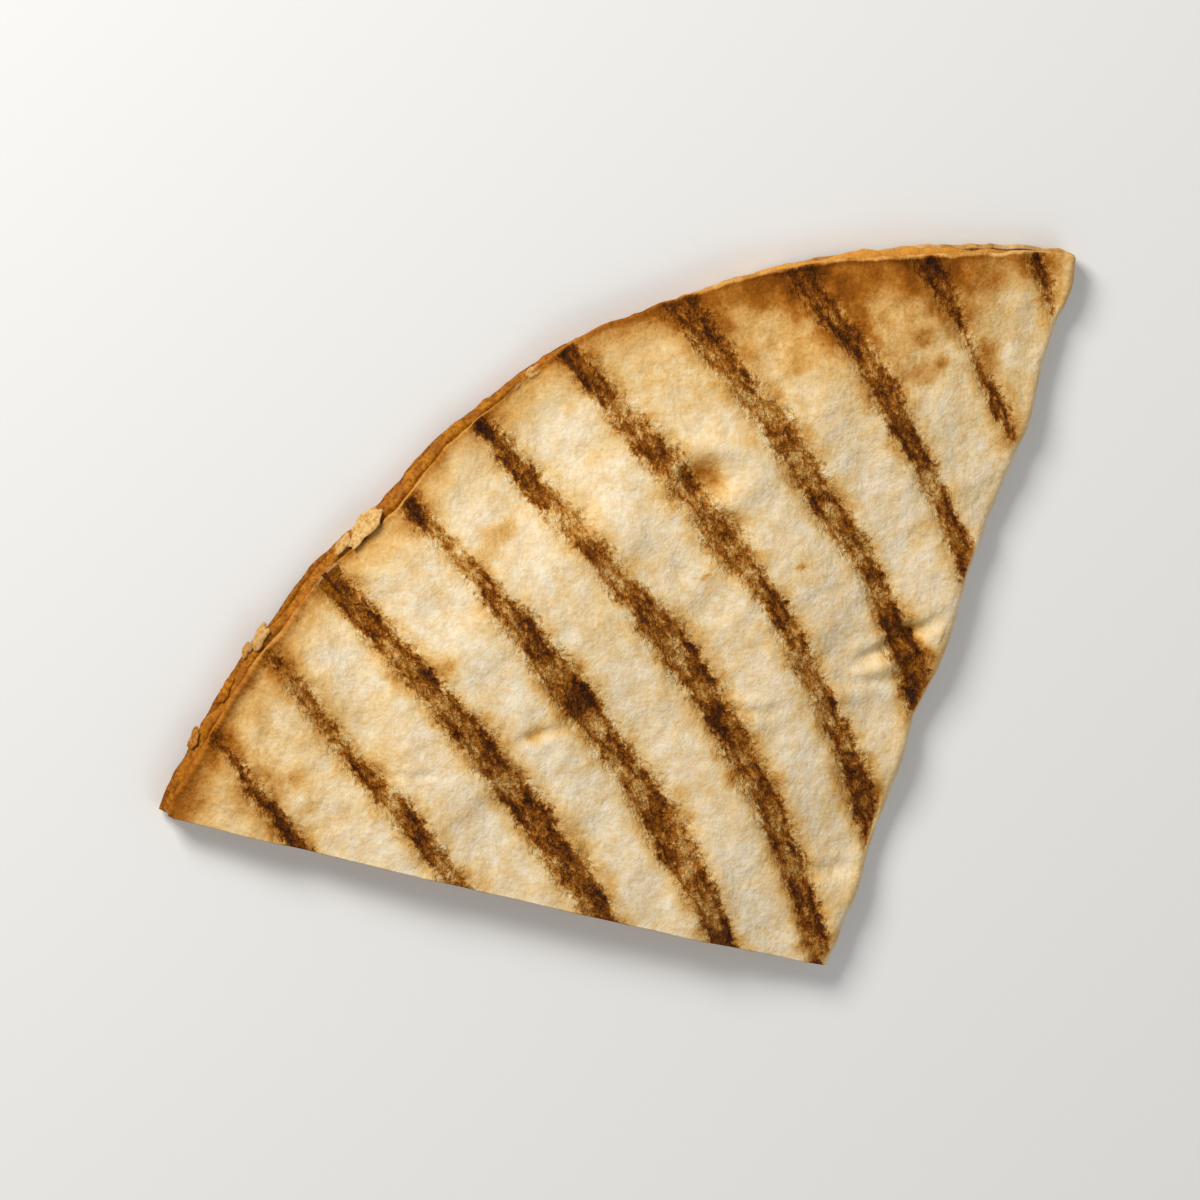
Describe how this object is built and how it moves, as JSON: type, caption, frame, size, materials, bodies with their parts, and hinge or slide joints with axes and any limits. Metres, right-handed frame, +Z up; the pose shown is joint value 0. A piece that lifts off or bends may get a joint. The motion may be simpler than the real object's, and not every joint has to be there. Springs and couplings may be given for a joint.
{
  "type": "quesadilla wedge",
  "caption": "Grilled flour tortilla folded over melted cheese and cut into a quarter-disc wedge, lying flat as a ready-to-eat piece of food.",
  "frame": {"origin": "bottom centre of the bounding box, on the surface that the wedge lies on", "axes": "+Z up through the grilled face; +Y along the straight fold, from the square corner to the pointed tip on the round edge; the fold is on the +X side and the straight cut on the -Y side"},
  "size_m": [0.1288, 0.1268, 0.0091],
  "materials": {
    "tortilla": "dry toasted flour dough with dark grill marks",
    "filling": "melted cheese, slightly glossy, browned at the rim"
  },
  "bodies": {
    "root": {"tortilla": "tortilla", "filling": "filling"}
  },
  "joints": []
}
